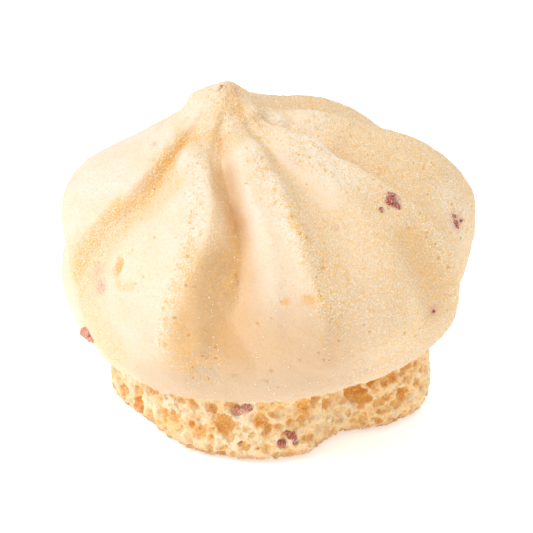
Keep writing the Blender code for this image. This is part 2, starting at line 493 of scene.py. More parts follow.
class Bench:
    """The nodes of one material, with short ways to add and join them."""

    def __init__(self, name: str) -> None:
        """Starts a material with its shader and the object's coordinates.

        Args:
            name: The material's name.
        """
        self.material = bpy.data.materials.new(name)
        self.material.use_nodes = True
        self.tree = self.material.node_tree
        self.shader = self.tree.nodes["Principled BSDF"]
        self.place = self.tree.nodes.new("ShaderNodeTexCoord").outputs["Object"]

    def node(self, kind: str, **settings: object) -> bpy.types.Node:
        """Adds a node and sets its properties.

        Args:
            kind: The node's type.
            **settings: The node's properties, each under its name.

        Returns:
            The new node.
        """
        node = self.tree.nodes.new(kind)
        for name, value in settings.items():
            setattr(node, name, value)
        return node

    def feed(self, socket: Socket, value: object) -> None:
        """Joins a socket to another one, or sets it to a number, a colour or a vector.

        Args:
            socket: The input to feed.
            value: A socket, a number, a colour or a vector.
        """
        if isinstance(value, Socket):
            self.tree.links.new(value, socket)
        elif isinstance(value, tuple):
            socket.default_value = (*value, 1.0)[: len(socket.default_value)]
        else:
            socket.default_value = value

    def surface(self, inputs: dict[str, object]) -> Material:
        """Feeds the shader's inputs, each under its name, and gives the finished material.

        Args:
            inputs: What goes into each input of the shader.

        Returns:
            The finished material.
        """
        for name, value in inputs.items():
            self.feed(self.shader.inputs[name], value)
        return self.material

    def pattern(self, kind: str, spacing: float, inputs: dict[str, float]) -> bpy.types.Node:
        """Adds a pattern with the given spacing, which keeps its place on the object.

        Args:
            kind: The pattern node's type.
            spacing: About how far apart its marks are, in metres.
            inputs: The pattern's other inputs, each under its name.

        Returns:
            The new node.
        """
        node = self.node(kind)
        for name, value in {"Vector": self.place, "Scale": 1.0 / spacing, **inputs}.items():
            self.feed(node.inputs[name], value)
        return node

    def clouds(self, spacing: float, detail: float = 2.0, roughness: float = 0.5) -> Socket:
        """Adds soft noise with the given spacing."""
        inputs = {"Detail": detail, "Roughness": roughness}
        return self.pattern("ShaderNodeTexNoise", spacing, inputs).outputs["Fac"]

    def cells(self, spacing: float) -> Socket:
        """Adds the distance from the middles of cells with the given spacing."""
        return self.pattern("ShaderNodeTexVoronoi", spacing, {}).outputs["Distance"]

    def dots(self, spacing: float, largest: float = 0.36, fewer: float = 0.12) -> Socket:
        """Adds round dots of uneven sizes, one at most in each cell of a pattern.

        Args:
            spacing: The size of the cells.
            largest: The radius of the largest dots, as a share of the spacing.
            fewer: How much is taken off every radius, so that the smallest dots drop out.

        Returns:
            1 inside a dot and 0 outside, with a soft edge.
        """
        node = self.pattern("ShaderNodeTexVoronoi", spacing, {})
        radius = self.sum("SUBTRACT", self.times(node.outputs["Color"], largest + 2.0 * fewer), fewer)
        return self.ramp(self.sum("SUBTRACT", node.outputs["Distance"], radius), -0.08, 0.04, 1.0, 0.0)

    def stored(self, name: str) -> Socket:
        """Reads the numbers that the mesh keeps under a name."""
        return self.node("ShaderNodeAttribute", attribute_name=name).outputs["Fac"]

    def ramp(self, value: object, low: float, high: float, start: float = 0.0, end: float = 1.0) -> object:
        """Runs from `start` to `end` as a value goes from `low` to `high`, and no further.

        Args:
            value: The value to follow.
            low: The value at which the ramp starts.
            high: The value at which it ends.
            start: The result up to `low`.
            end: The result from `high` on.

        Returns:
            The result, as a socket.
        """
        node = self.node("ShaderNodeMapRange", clamp=True, interpolation_type="SMOOTHSTEP")
        names = ("Value", "From Min", "From Max", "To Min", "To Max")
        for name, number in zip(names, (value, low, high, start, end)):
            self.feed(node.inputs[name], number)
        return node.outputs["Result"]

    def sum(self, operation: str, first: object, second: object) -> Socket:
        """Does one sum on two numbers.

        Args:
            operation: What to do with the numbers.
            first: The first number, or a socket that gives it.
            second: The second one.

        Returns:
            The result, as a socket.
        """
        node = self.node("ShaderNodeMath", operation=operation)
        self.feed(node.inputs[0], first)
        self.feed(node.inputs[1], second)
        return node.outputs[0]

    def times(self, first: object, second: object) -> Socket:
        """Multiplies two numbers."""
        return self.sum("MULTIPLY", first, second)

    def blend(self, share: object, first: object, second: object) -> Socket:
        """Blends two colours.

        Args:
            share: How much of the second colour shows, from 0 to 1.
            first: The first colour, or a socket that gives it.
            second: The second one.

        Returns:
            The blended colour, as a socket.
        """
        node = self.node("ShaderNodeMix", data_type="RGBA")
        self.feed(node.inputs["Factor"], share)
        self.feed(node.inputs[6], first)
        self.feed(node.inputs[7], second)
        return node.outputs[2]

    def bump(self, height: object, distance: float, under: object = None) -> Socket:
        """Turns a height into fine relief, on top of the relief in `under`.

        Args:
            height: The height, as a socket.
            distance: How high a height of 1 stands, in metres.
            under: The relief that this one lies on, if there is any.

        Returns:
            The relief, as a socket.
        """
        node = self.node("ShaderNodeBump")
        self.feed(node.inputs["Height"], height)
        self.feed(node.inputs["Distance"], distance)
        if under is not None:
            self.feed(node.inputs["Normal"], under)
        return node.outputs["Normal"]


@dataclass(frozen=True)
class Finish:
    """What every finish of the cookie has: how rough it is, and how light soaks into it."""

    smoothest: float
    roughest: float
    glow: float
    glow_reach: Colour
    glow_depth: float
    gloss: float = 0.5

    def finished(self, bench: Bench, base: Socket, grain: Socket, relief: Socket | None = None) -> Material:
        """Joins the patterns of a finish to its shader.

        Args:
            bench: The material's nodes.
            base: The colour.
            grain: The pattern that the roughness follows.
            relief: The fine relief, if there is any.

        Returns:
            The finished material.
        """
        inputs = {
            "Base Color": base,
            "Roughness": bench.ramp(grain, 0.3, 0.7, self.smoothest, self.roughest),
            "Specular IOR Level": self.gloss,
            "Subsurface Weight": self.glow,
            "Subsurface Radius": self.glow_reach,
            "Subsurface Scale": self.glow_depth,
        }
        return bench.surface(inputs if relief is None else {**inputs, "Normal": relief})


@dataclass(frozen=True)
class SkinFinish(Finish):
    """Dry sugar skin: cream on lit crests, tan as browning and painted shade, golden and speckled in the
    furrows.
    """

    cream: Colour = (0.95, 0.81, 0.66)
    butter: Colour = (0.95, 0.77, 0.56)
    tan: Colour = (0.93, 0.66, 0.38)
    honey: Colour = (0.96, 0.57, 0.18)
    gold: Colour = (0.94, 0.54, 0.16)
    # Painted shade: a darker colour for the furrows and a paler one along the lip.
    painted_shade: Colour = (0.69, 0.41, 0.185)
    low_painted_shade: Colour = (0.73, 0.53, 0.35)
    amber: Colour = (0.90, 0.45, 0.10)
    berry: Colour = (0.62, 0.26, 0.25)
    sugar: Colour = (0.98, 0.92, 0.78)
    smoothest: float = 0.65
    roughest: float = 0.9
    gloss: float = 0.25
    bloom: float = 0.12
    glow: float = 0.10
    glow_reach: Colour = (1.0, 0.7, 0.4)
    glow_depth: float = 0.5 * MM

    def material(self) -> Material:
        """Builds the material.

        Returns:
            The finished material.
        """
        bench = Bench("sugar_skin")
        patches = bench.clouds(5.0 * MM, 3.0)
        mottle = bench.clouds(1.1 * MM, 2.0, 0.6)
        speckle = bench.clouds(0.36 * MM, 3.0, 0.65)
        grit = bench.clouds(0.16 * MM, 1.0)
        grains = bench.cells(0.26 * MM)
        furrow = bench.stored("furrow")
        tan_and_painted_shade = bench.stored("tan_and_painted_shade")
        rough = bench.stored("rough")
        base = bench.blend(bench.ramp(patches, 0.35, 0.65), self.cream, self.butter)
        # Tan: browning, and painted shade on the side turned from the light.
        base = bench.blend(tan_and_painted_shade, base, self.tan)
        # Painted shade in the deep furrow, low on the front and behind the tip.
        painted_shade = bench.stored("painted_shade")
        base = bench.blend(painted_shade, base, self.painted_shade)
        # Paler painted shade along the lip and low on the front lobes.
        base = bench.blend(bench.stored("low_painted_shade"), base, self.low_painted_shade)
        # Golden, partly painted shade: in the hollows of the skin and along the gold bands.
        golden_shade = bench.times(furrow, bench.ramp(mottle, 0.3, 0.6, 0.5, 1.0))
        base = bench.blend(golden_shade, base, self.gold)
        coarse = bench.sum("MAXIMUM", bench.sum("MAXIMUM", rough, furrow), bench.times(tan_and_painted_shade, 0.6))
        fleck = bench.times(bench.ramp(speckle, 0.53, 0.64), bench.ramp(coarse, 0.0, 1.0, 0.28, 0.95))
        fleck = bench.times(fleck, bench.ramp(painted_shade, 0.1, 0.7, 1.0, 0.45))
        base = bench.blend(fleck, base, self.honey)
        sand = bench.times(bench.ramp(mottle, 0.46, 0.64), bench.ramp(coarse, 0.1, 1.0, 0.0, 0.35))
        base = bench.blend(sand, base, self.gold)
        dots = bench.times(bench.dots(0.75 * MM), bench.ramp(coarse, 0.1, 1.0, 0.08, 0.80))
        base = bench.blend(dots, base, self.gold)
        dust = bench.times(bench.ramp(grit, 0.50, 0.62), bench.ramp(coarse, 0.1, 0.8, 0.15, 0.70))
        dust = bench.times(dust, bench.ramp(painted_shade, 0.1, 0.7, 1.0, 0.25))
        base = bench.blend(dust, base, self.sugar)
        stain = bench.times(bench.stored("stain"), bench.ramp(speckle, 0.40, 0.60, 0.35, 1.3))
        base = bench.blend(stain, base, self.berry)
        # Painted shade: amber inside the holes, for the light that glows in them.
        base = bench.blend(bench.stored("painted_hole_shade"), base, self.amber)
        relief = bench.bump(mottle, 0.12 * MM)
        relief = bench.bump(speckle, bench.ramp(coarse, 0.0, 1.0, 0.06 * MM, 0.17 * MM), relief)
        relief = bench.bump(grains, -0.05 * MM, relief)
        relief = bench.bump(grit, bench.ramp(tan_and_painted_shade, 0.0, 1.0, 0.03 * MM, 0.09 * MM), relief)
        relief = bench.bump(dots, -0.04 * MM, relief)
        bench.surface({"Sheen Weight": self.bloom, "Sheen Tint": self.sugar})
        return self.finished(bench, base, speckle, relief)


@dataclass(frozen=True)
class CrumbFinish(Finish):
    """Open baked crumb: pale thin walls, amber painted shade in the depths of its bubbles, and brown along
    the base.
    """

    wall: Colour = (0.97, 0.84, 0.63)
    warm: Colour = (0.96, 0.64, 0.30)
    deep: Colour = (0.93, 0.47, 0.08)
    scorched: Colour = (0.42, 0.19, 0.08)
    smoothest: float = 0.45
    roughest: float = 0.75
    gloss: float = 0.3
    glow: float = 0.45
    glow_reach: Colour = (1.0, 0.5, 0.2)
    glow_depth: float = 0.6 * MM

    def material(self) -> Material:
        """Builds the material.

        Returns:
            The finished material.
        """
        bench = Bench("open_crumb")
        patches = bench.clouds(2.2 * MM, 3.0)
        speckle = bench.clouds(0.28 * MM, 3.0, 0.6)
        grit = bench.clouds(0.16 * MM, 1.0)
        depth = bench.stored("depth")
        base = bench.blend(bench.ramp(patches, 0.38, 0.62), self.wall, self.warm)
        # Painted shade on the side turned from the light, and warmer towards the bottom.
        base = bench.blend(bench.times(bench.stored("tan_and_painted_shade"), 0.6), base, self.warm)
        # Painted shade: amber deepening with depth in the bubbles.
        hollow = bench.times(bench.ramp(depth, 0.05, 0.80), bench.ramp(patches, 0.3, 0.7, 0.65, 1.0))
        base = bench.blend(hollow, base, self.deep)
        base = bench.blend(bench.times(bench.ramp(speckle, 0.54, 0.66), 0.5), base, self.deep)
        # Pores: sunk dots, darkened with amber as painted shade.
        pores = bench.dots(0.62 * MM, 0.46, 0.10)
        base = bench.blend(bench.times(pores, 0.40), base, self.deep)
        base = bench.blend(bench.times(bench.ramp(grit, 0.54, 0.66), 0.7), base, self.wall)
        base = bench.blend(bench.stored("scorch"), base, self.scorched)
        relief = bench.bump(speckle, 0.11 * MM)
        relief = bench.bump(pores, -0.07 * MM, relief)
        relief = bench.bump(grit, 0.06 * MM, relief)
        return self.finished(bench, base, speckle, relief)


@dataclass(frozen=True)
class FruitFinish(Finish):
    """Freeze-dried raspberry: dark red flesh, purple where it is driest, with a dusting of sugar."""

    flesh: Colour = (0.40, 0.07, 0.04)
    purple: Colour = (0.38, 0.12, 0.11)
    salmon: Colour = (0.80, 0.38, 0.27)
    dust: Colour = (0.86, 0.54, 0.40)
    smoothest: float = 0.35
    roughest: float = 0.7
    glow: float = 0.15
    glow_reach: Colour = (1.0, 0.2, 0.2)
    glow_depth: float = 0.4 * MM

    def material(self) -> Material:
        """Builds the material.

        Returns:
            The finished material.
        """
        bench = Bench("dried_raspberry")
        patches = bench.clouds(0.7 * MM, 2.0)
        speckle = bench.clouds(0.16 * MM, 2.0, 0.7)
        base = bench.blend(bench.ramp(patches, 0.4, 0.6), self.flesh, self.purple)
        base = bench.blend(bench.stored("pale"), base, self.salmon)
        base = bench.blend(bench.ramp(speckle, 0.50, 0.64), base, self.dust)
        return self.finished(bench, base, speckle, bench.bump(speckle, 0.06 * MM))


@dataclass(frozen=True)
class SugarFinish(Finish):
    """Sugar crystals: almost white, slightly clear and shiny."""

    body: Colour = (0.97, 0.92, 0.80)
    warm: Colour = (0.95, 0.84, 0.62)
    smoothest: float = 0.3
    roughest: float = 0.6
    glow: float = 0.3
    glow_reach: Colour = (1.0, 0.9, 0.7)
    glow_depth: float = 0.3 * MM

    def material(self) -> Material:
        """Builds the material.

        Returns:
            The finished material.
        """
        bench = Bench("sugar_crystal")
        base = bench.blend(bench.ramp(bench.clouds(0.8 * MM), 0.4, 0.65), self.body, self.warm)
        return self.finished(bench, base, bench.clouds(0.2 * MM, 1.0))


@dataclass(frozen=True)
class TableFinish:
    """A white table top of milky acrylic, lit from below."""

    milky: Colour = (0.91, 0.91, 0.91)
    shade: Colour = (0.89, 0.89, 0.89)
    light: float = 0.50
    roughness: float = 0.8
    gloss: float = 0.2

    def material(self) -> Material:
        """Builds the material.

        Returns:
            The finished material.
        """
        bench = Bench("light_table")
        cloudy = bench.blend(bench.ramp(bench.clouds(30.0 * MM), 0.3, 0.7), self.milky, self.shade)
        return bench.surface(
            {
                "Base Color": cloudy,
                "Emission Color": cloudy,
                "Emission Strength": self.light,
                "Roughness": self.roughness,
                "Specular IOR Level": self.gloss,
            }
        )


# ---- The sugar skin


class Hole(Enum):
    """The kinds of hole in the skin: depth over radius, how strong the painted amber shade inside it is, and
    how gently it slopes.
    """

    PINHOLE = (0.9, 0.8, 0.7)
    POCK = (0.5, 0.75, 1.5)
    DENT = (0.35, 0.50, 1.5)


@dataclass
class SugarSkin:
    """The dome of smooth baked skin, from its tip down to its ragged lower edge."""

    form: Form
    finish: SkinFinish = field(default_factory=SkinFinish)
    # The crests are made crisper between these shares of the height.
    crispness: float = 0.9
    crisp_above: tuple[float, float] = (0.25, 0.45)
    crisp_below: tuple[float, float] = (0.82, 0.92)
    crisp_rounds: int = 5
    hollow_rounds: int = 12
    hollow_depth: float = 0.9 * MM
    # Tan, painted shade on the side turned from the light and partly browning: that side is, and so are
    # these.
    tan_bands: tuple[Streak, ...] = (
        band(6, 1, (66.6, 65.4), (53.8, 53.7), (30, 50)),
        band(6.5, 1, (345.9, 62.5), (347, 52.1), (348.1, 41.9), (349, 33)),
        band(5.5, 0.9, (208, 20), (209.4, 13), (211.6, 6), (220, 0)),
        band(5, 0.85, (299.9, 41), (304.7, 35.3)),
        band(2.6, 0.75, (222.8, 50.3), (222.1, 43.5), (214.1, 36.4), (213.3, 30.4), (213, 20)),
        band(2.8, 1, (198.2, 80.8), (164.9, 85.4), (110, 80)),
        band(3, 0.8, (222, 66), (250, 76)),
    )
    # Painted highlight, lifting the painted tan: the lit heads of the lobes round the tip, and one crest on
    # the right.
    painted_light_bands: tuple[Streak, ...] = (
        band(3.8, 0.85, (300, 71.9), (309.4, 63.2), (312, 57)),
        band(3.4, 0.45, (352, 30), (352, 20)),
        band(2.2, 0.7, (260, 70), (265.3, 65), (271.5, 56.4)),
        band(2.6, 0.8, (4.8, 77)),
        band(1.8, 0.9, (320.7, 86.9), (300, 80)),
        band(1.4, 0.8, (220.7, 84)),
        band(2.2, 0.7, (192, 73), (196, 68)),
    )
    # Painted shade, darkest: the deep furrow and the hollow under it, the other front furrows, and behind the
    # tip.
    painted_shade_bands: tuple[Streak, ...] = (
        band(3, 0.56, (242.9, 58.8), (250, 52.4), (256.1, 43.3), (257.8, 36.6), (258, 28.2)),
        band(4.8, 0.86, (255, 30), (253.5, 21.9), (253, 11.4), (253.7, 7)),
        band(4, 0.55, (262.5, 27), (265.5, 18)),
        band(10, 0.74, (256, 2), (263, 10), (278, 7)),
        band(3.8, 0.72, (247.5, 15), (247.2, 6.6), (250, 0)),
        band(5, 0.95, (254, 13), (258.5, 7), (261, 2)),
        band(3.6, 0.14, (283.5, 64.7), (286.5, 55.1), (287.6, 46.3), (289, 36.2), (291, 26)),
        band(4.2, 0.42, (319, 30.4), (320.1, 24.3), (321.9, 17.7), (321.4, 13)),
        band(2, 0.36, (190.2, 80.1), (209, 80)),
    )
    # Painted shade, paler: along the lip, and low on the front lobes.
    low_painted_shade_bands: tuple[Streak, ...] = (
        band(5.6, 0.8, (236, -6), (249.5, -6), (264.4, -7), (278.8, -5), (293.2, -2)),
        band(5, 0.6, (293.2, -2), (312, -2), (332, 0)),
        band(6, 0.28, (271.7, 28.7), (276, 18)),
        band(7, 0.4, (287, 10), (296, 14)),
        band(7, 0.3, (230, 9)),
    )
    # Golden, partly browning and partly painted shade: down the left furrow, along the edges of the front
    # lobes, and in the dents.
    gold_bands: tuple[Streak, ...] = (
        band(2, 0.65, (208.1, 67.8), (216.8, 69.1)),
        band(1.5, 0.55, (203.2, 72.3), (206.9, 78.7), (214.7, 81.3)),
        band(2.4, 0.95, (208.1, 64), (210, 55.8), (212, 52)),
        band(1.7, 0.8, (211.2, 52), (213.3, 46.7), (214.7, 42.2)),
        band(1.3, 0.75, (214.7, 42.2), (210.8, 38.9), (208.6, 31.1), (206.4, 24.2), (202.4, 13.6)),
        band(1.6, 0.35, (252, 50), (256.1, 43.3), (258.6, 35.6), (258, 28.2)),
        band(2.6, 0.45, (246, 25), (245, 14), (245, 4)),
        band(2, 0.5, (246, 34), (247, 26)),
        band(2.4, 0.3, (319, 32.4), (321.9, 17.7)),
        band(4.5, 0.35, (66.6, 65.4), (53.8, 53.7)),
        band(0.9, 1, (220.9, 25.4), (220.6, 22.6)),
        band(0.8, 0.45, (221.5, 21), (225, 20), (229, 21.2)),
        band(0.6, 0.8, (280.6, 23.8), (283.6, 23.2)),
        band(0.6, 0.8, (274.4, 22.8)),
        band(0.9, 0.7, (279, 45.9), (280.5, 40.6)),
        band(0.9, 0.75, (286.4, 31.2)),
    )
    # Torn and gritty: the edges of the front lobes, right of the tip, and low in the deep furrow.
    rough_bands: tuple[Streak, ...] = (
        band(2, 0.9, (228, 62), (238, 52), (244, 43), (245, 33), (243.5, 22), (241, 8)),
        band(3, 0.9, (266, 65), (274, 56), (279, 47), (282.5, 38), (285, 29), (287, 14)),
        band(4, 0.75, (300, 71.9), (309.4, 63.2), (314, 54), (320, 44)),
        band(2.6, 1, (320, 44), (326, 34), (329, 24), (330.6, 12)),
        band(2.3, 0.85, (210, 55.8), (214, 46.7), (213, 38.9), (210, 28), (206, 10)),
        band(3, 0.8, (300, 80), (330, 80), (0, 74)),
        band(3.5, 0.8, (247, 4), (253, 0)),
        band(4, 0.9, (356, 40), (352.4, 23.5)),
    )
    # Pressed in by a depth, or swollen where it is negative: a dent, then knobs round the tip.
    presses: tuple[tuple[float, Streak], ...] = (
        (0.35 * MM, band(0.8, 1, (220.9, 25.4), (220.6, 22.6))),
        (-0.50 * MM, band(1.8, 1, (320.7, 86.9))),
        (-0.35 * MM, band(1.3, 1, (220.7, 84))),
        (-0.35 * MM, band(2.4, 1, (4.8, 77), (345, 70))),
        (-0.55 * MM, band(2.6, 1, (181, 69.5), (184, 64))),
    )
    # Smoothed: where the furrows run out under the tip, but not close round it.
    softening: int = 60
    tip_kept: tuple[float, float] = (0.5 * MM, 2.0 * MM)
    softened: tuple[Streak, ...] = (
        band(1.8, 1, (183.4, 77.4), (190, 79)),
        band(2.2, 1, (188, 75), (195, 71.1), (202, 68)),
        band(1.6, 0.8, (210.1, 74.8)),
        band(3, 0.9, (4.8, 77), (330, 76)),
    )
    # The layers of unevenness, in the order in which they are pressed in.
    swells: Relief = Relief(Grain.SWELLS, 5.0 * MM, 0.35 * MM)
    lumps: Relief = Relief(Grain.SWELLS, 1.8 * MM, 0.22 * MM)
    knobs: Relief = Relief(Grain.SWELLS, 1.5 * MM, 0.35 * MM)
    pebbles: Relief = Relief(Grain.CELLS, 0.8 * MM, 0.08 * MM)
    bumps: Relief = Relief(Grain.SWELLS, 0.6 * MM, 0.16 * MM)
    tears: Relief = Relief(Grain.SWELLS, 0.5 * MM, 0.16 * MM)
    tatters: Relief = Relief(Grain.SWELLS, 0.9 * MM, 0.80 * MM)
    # The lower edge: how many waves go round it, how high they are, which side is torn most, how thick it
    # is, and how far out it lies as a share of the width.
    lip_waves: tuple[int, ...] = (7, 13, 24, 41, 67, 101)
    ragged: float = 0.8 * MM
    torn_side: float = 320.0
    edge_thickness: float = 0.45 * MM
    lip_reach: float = 0.42
    # The direction of the side that gets painted shade as tan.
    shaded_side: tuple[float, float] = (5.0, 10.0)
    # The holes: first how far round each one the mesh is finer, and then the seeded and the placed ones.
    finer_beyond: float = 0.15 * MM
    finer_cuts: int = 2
    pinhole_count: int = 260
    pinhole_sines: tuple[float, float] = (-0.18, 0.97)
    pinhole_sizes: tuple[float, float] = (0.08 * MM, 0.15 * MM)
    seed: int = 5
    placed: tuple[tuple[Hole, tuple[Spot, ...]], ...] = (
        (Hole.DENT, spots((220.8, 24, 0.85), (281, 23.8, 0.9), (275, 23.5, 0.5))),
        (
            Hole.POCK,
            spots(
                (326.4, 23.6, 0.3), (328, 20.4, 0.3), (315.4, 16.9, 0.24), (355.8, 41.3, 0.26),
                (321.1, 34.4, 0.24), (279, 45.9, 0.28), (280.5, 40.6, 0.24), (286.4, 31.2, 0.32),
            ),
        ),
        (
            Hole.PINHOLE,
            spots(
                (253.9, 8, 0.19), (254, 4.2, 0.17), (250.3, 5.1, 0.15), (260.1, -0.7, 0.15),
                (247.8, -2.1, 0.14), (269.4, -1.1, 0.17), (272.6, -3.1, 0.15), (270.7, 2.5, 0.2),
                (278.3, 6.7, 0.15), (283.2, 9.1, 0.15), (307.9, 9.6, 0.18), (212.1, -3.6, 0.18),
                (217.5, -4.4, 0.17), (270.9, 70.5, 0.16), (297.1, 12.9, 0.16), (259.1, 30, 0.17),
                (246.9, 25.7, 0.18), (243.2, 34.7, 0.17), (244.4, 16.9, 0.18), (247.2, 11.8, 0.18),
                (266.8, 17.4, 0.2),
            ),
        ),
    )
    # Stained by fruit: on the shown side first, and then at the back.
    stains: tuple[Spot, ...] = spots(
        (322, 43.2, 1.3, 0.45), (350.8, 24.6, 1.5, 0.4), (320.2, 11.2, 0.9, 0.35), (295.4, 41.9, 0.7, 0.3),
        (197.6, 55.8, 0.9, 0.3), (216.3, 16.6, 1.2, 0.45), (212, 18.8, 1.8, 0.22),
        (187.2, 81.2, 0.8, 0.35), (205, -4, 1.1, 0.35), (260.6, -17.5, 1.2, 0.35),
        (25, 22, 1.2, 0.4), (84, 8, 1.1, 0.4), (122, 33, 1.4, 0.4), (151, 15, 1, 0.35),
    )

    def build(self) -> Piece:
        """Builds the skin and dresses it.

        Returns:
            The finished piece.
        """
        skin = self.form.copy("sugar_skin")
        self._sharpen(skin)
        store(skin, "hollow", fade(hollowness(skin, self.hollow_rounds, self.hollow_depth), 0.1, 1.0))
        apply_modifier(skin, "SUBSURF", levels=2, render_levels=2)
        self._press_bands(skin)
        self._trim_at_lip(skin)
        self._close_below(skin)
        self._roughen(skin)
        self._press_holes(skin)
        self.form.keep_inside(skin)
        self._store_browning_and_shade(skin)
        smooth(skin)
        dress(skin, self.finish.material())
        return skin

    def _sharpen(self, skin: Piece) -> None:
        """Makes the crests of the dome crisper, as the piped ridges are.

        Args:
            skin: The dome.
        """
        points = points_of(skin)
        above = fade(points[:, 2], *(share * self.form.height for share in self.crisp_above))
        above *= 1.0 - fade(points[:, 2], *(share * self.form.height for share in self.crisp_below))
        relief = self.crispness * above * np.minimum(hollowness(skin, self.crisp_rounds, 1.0), 0.0)
        set_points(skin, points - relief[:, None] * normals_of(skin))

    def _press_bands(self, skin: Piece) -> None:
        """Presses in a dent, swells knobs round the tip, and smooths where the furrows run out under it.

        Args:
            skin: The dome.
        """
        tree = surface_tree([skin])
        points = points_of(skin)
        for depth, streak in self.presses:
            points -= depth * self.form.painted(tree, points_of(skin), (streak,))[:, None] * normals_of(skin)
        set_points(skin, points)
        from_tip = np.linalg.norm(points - points[np.argmax(points[:, 2])], axis=1)
        soft = self.form.painted(tree, points, self.softened) * fade(from_tip, *self.tip_kept)
        set_points(skin, points + soft[:, None] * (averaged(skin, points, self.softening) - points))

    def _trim_at_lip(self, skin: Piece) -> None:
        """Deletes the foot, along a ragged line.

        Args:
            skin: The dome, still with the foot on it.
        """
        random = np.random.default_rng(self.seed)
        middles = face_middles(skin)
        around = azimuths(middles)
        wander = np.zeros(len(middles))
        for waves in self.lip_waves:
            turn = random.uniform(0.0, 2.0 * math.pi)
            wander += np.sin(np.radians(around) * waves + turn) * random.uniform(0.5, 1.0)
        ragged = self.ragged * (0.7 + fade(np.cos(np.radians(around - self.torn_side)), 0.7, 0.95))
        below = middles[:, 2] < self.form.lip(around) + ragged * wander / 3.0
        with edit_mode(skin, below):
            bpy.ops.mesh.delete(type="FACE")

    def _close_below(self, skin: Piece) -> None:
        """Turns the lower edge inwards as a thin rim, and closes the skin over the crumb.

        Args:
            skin: The dome, open below.
        """
        with edit_mode(skin, np.zeros(len(skin.data.polygons), dtype=bool)):
            select_open_edges()
            thinned = 1.0 - self.edge_thickness / (self.lip_reach * (self.form.high[0] - self.form.low[0]))
            for rise, width in ((0.3 * self.edge_thickness, thinned), (2.0 * self.edge_thickness, 0.9)):
                bpy.ops.mesh.extrude_edges_move(TRANSFORM_OT_translate={"value": (0.0, 0.0, rise)})
                bpy.ops.transform.resize(value=(width, width, 1.0), center_override=(0.0, 0.0, 0.0))
            bpy.ops.mesh.edge_face_add()

    def _roughen(self, skin: Piece) -> None:
        """Gives the skin its swells, its pebbly grain and the roughness round its tip.

        Args:
            skin: The dome.
        """
        points = points_of(skin)
        tip = points[np.argmax(points[:, 2])]
        from_tip = np.linalg.norm(points - tip, axis=1)
        near_tip = 1.0 - fade(from_tip, 4.0 * MM, 12.0 * MM)
        self.swells.press(skin, 1.0 - 0.6 * near_tip)
        self.lumps.press(skin)
        knobbly = near_tip * fade(from_tip, 0.8 * MM, 2.0 * MM)
        self.knobs.press(skin, knobbly)
        self.pebbles.press(skin)
        self.bumps.press(skin, 0.5 + 0.5 * knobbly)
        coarse = self.form.painted(surface_tree([skin]), points, self.rough_bands)
        self.tears.press(skin, coarse)
        over_lip = points[:, 2] - self.form.lip(azimuths(points))
        self.tatters.press(skin, 1.0 - fade(over_lip, 0.3 * MM, 1.8 * MM))
        beside = fade(points[:, 0] - tip[0], -0.5 * MM, 2.0 * MM)
        store(skin, "rough", np.maximum((0.35 + 0.5 * beside) * near_tip, coarse))

    def _scattered(self, skin: Piece, tree: BVHTree) -> list[tuple[Hole, Spot]]:
        """Picks the places of the small holes that no list gives, thickest where the skin is rough.

        Args:
            skin: The dome.
            tree: The surface of the dome.

        Returns:
            The kind and the place of each hole.
        """
        random = np.random.default_rng(self.seed + 1)
        rough = stored(skin, "rough")
        holes: list[tuple[Hole, Spot]] = []
        while len(holes) < self.pinhole_count:
            elevation = math.degrees(math.asin(random.uniform(*self.pinhole_sines)))
            spot = Spot(random.uniform(0.0, 360.0), elevation, random.uniform(*self.pinhole_sizes))
            face = self.form.strike(tree, spot)[2]
            wanted = 0.15 + 0.85 * rough[skin.data.polygons[face].vertices[0]]
            if random.uniform() < wanted:
                holes.append((Hole.PINHOLE, spot))
        return holes

    def _press_holes(self, skin: Piece) -> None:
        """Presses the holes in, in a finer mesh round each one.

        Args:
            skin: The dome.
        """
        tree = surface_tree([skin])
        listed = [(kind, spot) for kind, row in self.placed for spot in row]
        places = (*listed, *self._scattered(skin, tree))
        holes = [(kind, spot, *self.form.land(tree, spot)) for kind, spot in places]
        middles = face_middles(skin)
        near = np.zeros(len(middles), dtype=bool)
        for kind, spot, centre, _ in holes:
            if kind is not Hole.DENT:
                near |= np.linalg.norm(middles - centre, axis=1) < 1.6 * spot.size + self.finer_beyond
        with edit_mode(skin, near):
            bpy.ops.mesh.subdivide(number_cuts=self.finer_cuts)
        points = points_of(skin)
        # Painted shade: amber inside each hole, strongest at its middle.
        painted_hole_shade = np.zeros(len(points))
        for kind, spot, centre, normal in holes:
            depth, hole_shade_strength, slope = kind.value
            offset = points - centre
            along = offset @ normal
            across = np.linalg.norm(offset - along[:, None] * normal, axis=1) / spot.size
            inside = (across < 1.0) & (np.abs(along) < 2.0 * spot.size)
            share = (1.0 - across[inside] ** 2) ** slope
            points[inside] -= normal * (share * depth * spot.size)[:, None]
            painted_hole_shade[inside] = np.maximum(painted_hole_shade[inside], hole_shade_strength * share)
        set_points(skin, points)
        store(skin, "painted_hole_shade", painted_hole_shade)

    def _store_browning_and_shade(self, skin: Piece) -> None:
        """Keeps where the skin has browning, painted shade and painted highlight, and where fruit has stained
        it.

        Args:
            skin: The dome.
        """
        tree = surface_tree([skin])
        points = points_of(skin)
        hollow = stored(skin, "hollow")
        # Painted shade: faces turned from the key light get the tan colour.
        facing = fade(averaged(skin, normals_of(skin), 3) @ heading(*self.shaded_side), -0.25, 0.5)
        # Painted highlight: the lit heads and one lit crest lose the painted tan.
        cream = 1.0 - self.form.painted(tree, points, self.painted_light_bands)
        store(skin, "tan_and_painted_shade", cream * np.maximum(facing, self.form.painted(tree, points, self.tan_bands)))
        store(skin, "painted_shade", self.form.painted(tree, points, self.painted_shade_bands))
        store(skin, "low_painted_shade", self.form.painted(tree, points, self.low_painted_shade_bands))
